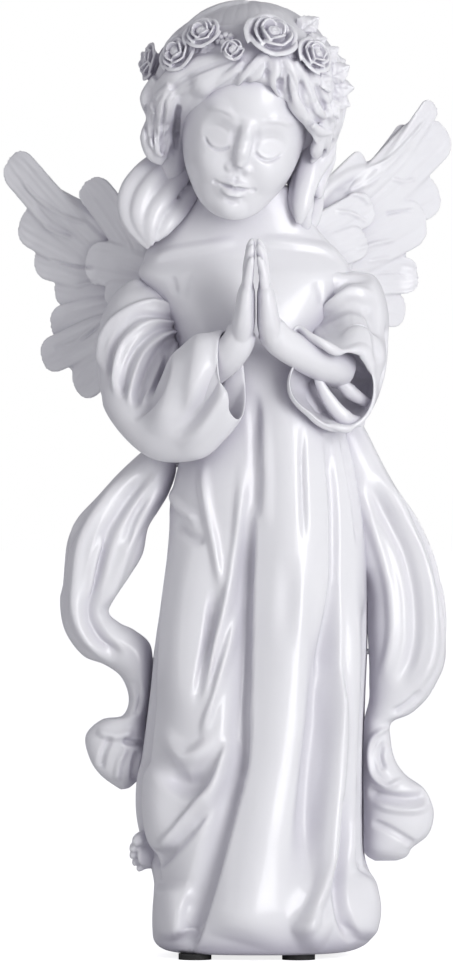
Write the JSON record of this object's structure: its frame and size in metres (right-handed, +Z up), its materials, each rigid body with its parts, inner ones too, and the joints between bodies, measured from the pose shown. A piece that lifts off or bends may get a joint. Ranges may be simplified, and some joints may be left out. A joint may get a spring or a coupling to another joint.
{
  "type": "resin angel figurine",
  "caption": "Standing praying angel statuette: a hollow cast gown carrying a bust, bowed head with a rose wreath, sleeves, joined hands, wings and scarf ends.",
  "frame": {"origin": "on the floor under the middle of the figure's box", "axes": "+Z up along the standing figure, -Y is where the face looks, +X is the angel's own left"},
  "size_m": [0.1499, 0.0978, 0.3206],
  "materials": {
    "white_resin": "glossy white lacquer",
    "raw_resin": "unpainted cast resin",
    "steel": "bright drawn wire",
    "black_rubber": "matt"
  },
  "bodies": {
    "root": {"gown": "white_resin", "base_plug": "raw_resin", "pad_front_right": "black_rubber", "pad_front_left": "black_rubber", "pad_rear_right": "black_rubber", "pad_rear_left": "black_rubber", "bust": "white_resin", "head": "white_resin", "hair": "white_resin", "right_hair_lock": "white_resin", "left_hair_lock": "white_resin", "rose_crown": "white_resin", "rose_left_temple": "white_resin", "rose_right_temple": "white_resin", "rose_right_side": "white_resin", "rose_right_edge": "white_resin", "rose_bud": "white_resin", "wreath_leaves": "white_resin", "wreath_berries": "white_resin", "right_sleeve": "white_resin", "left_sleeve": "white_resin", "right_hand": "white_resin", "left_hand": "white_resin", "right_wing": "white_resin", "left_wing": "white_resin", "wing_dowels": "steel", "sleeve_dowels": "steel", "scarf_dowels": "steel", "right_scarf": "white_resin", "left_scarf": "white_resin", "bare_foot": "white_resin"}
  },
  "joints": []
}
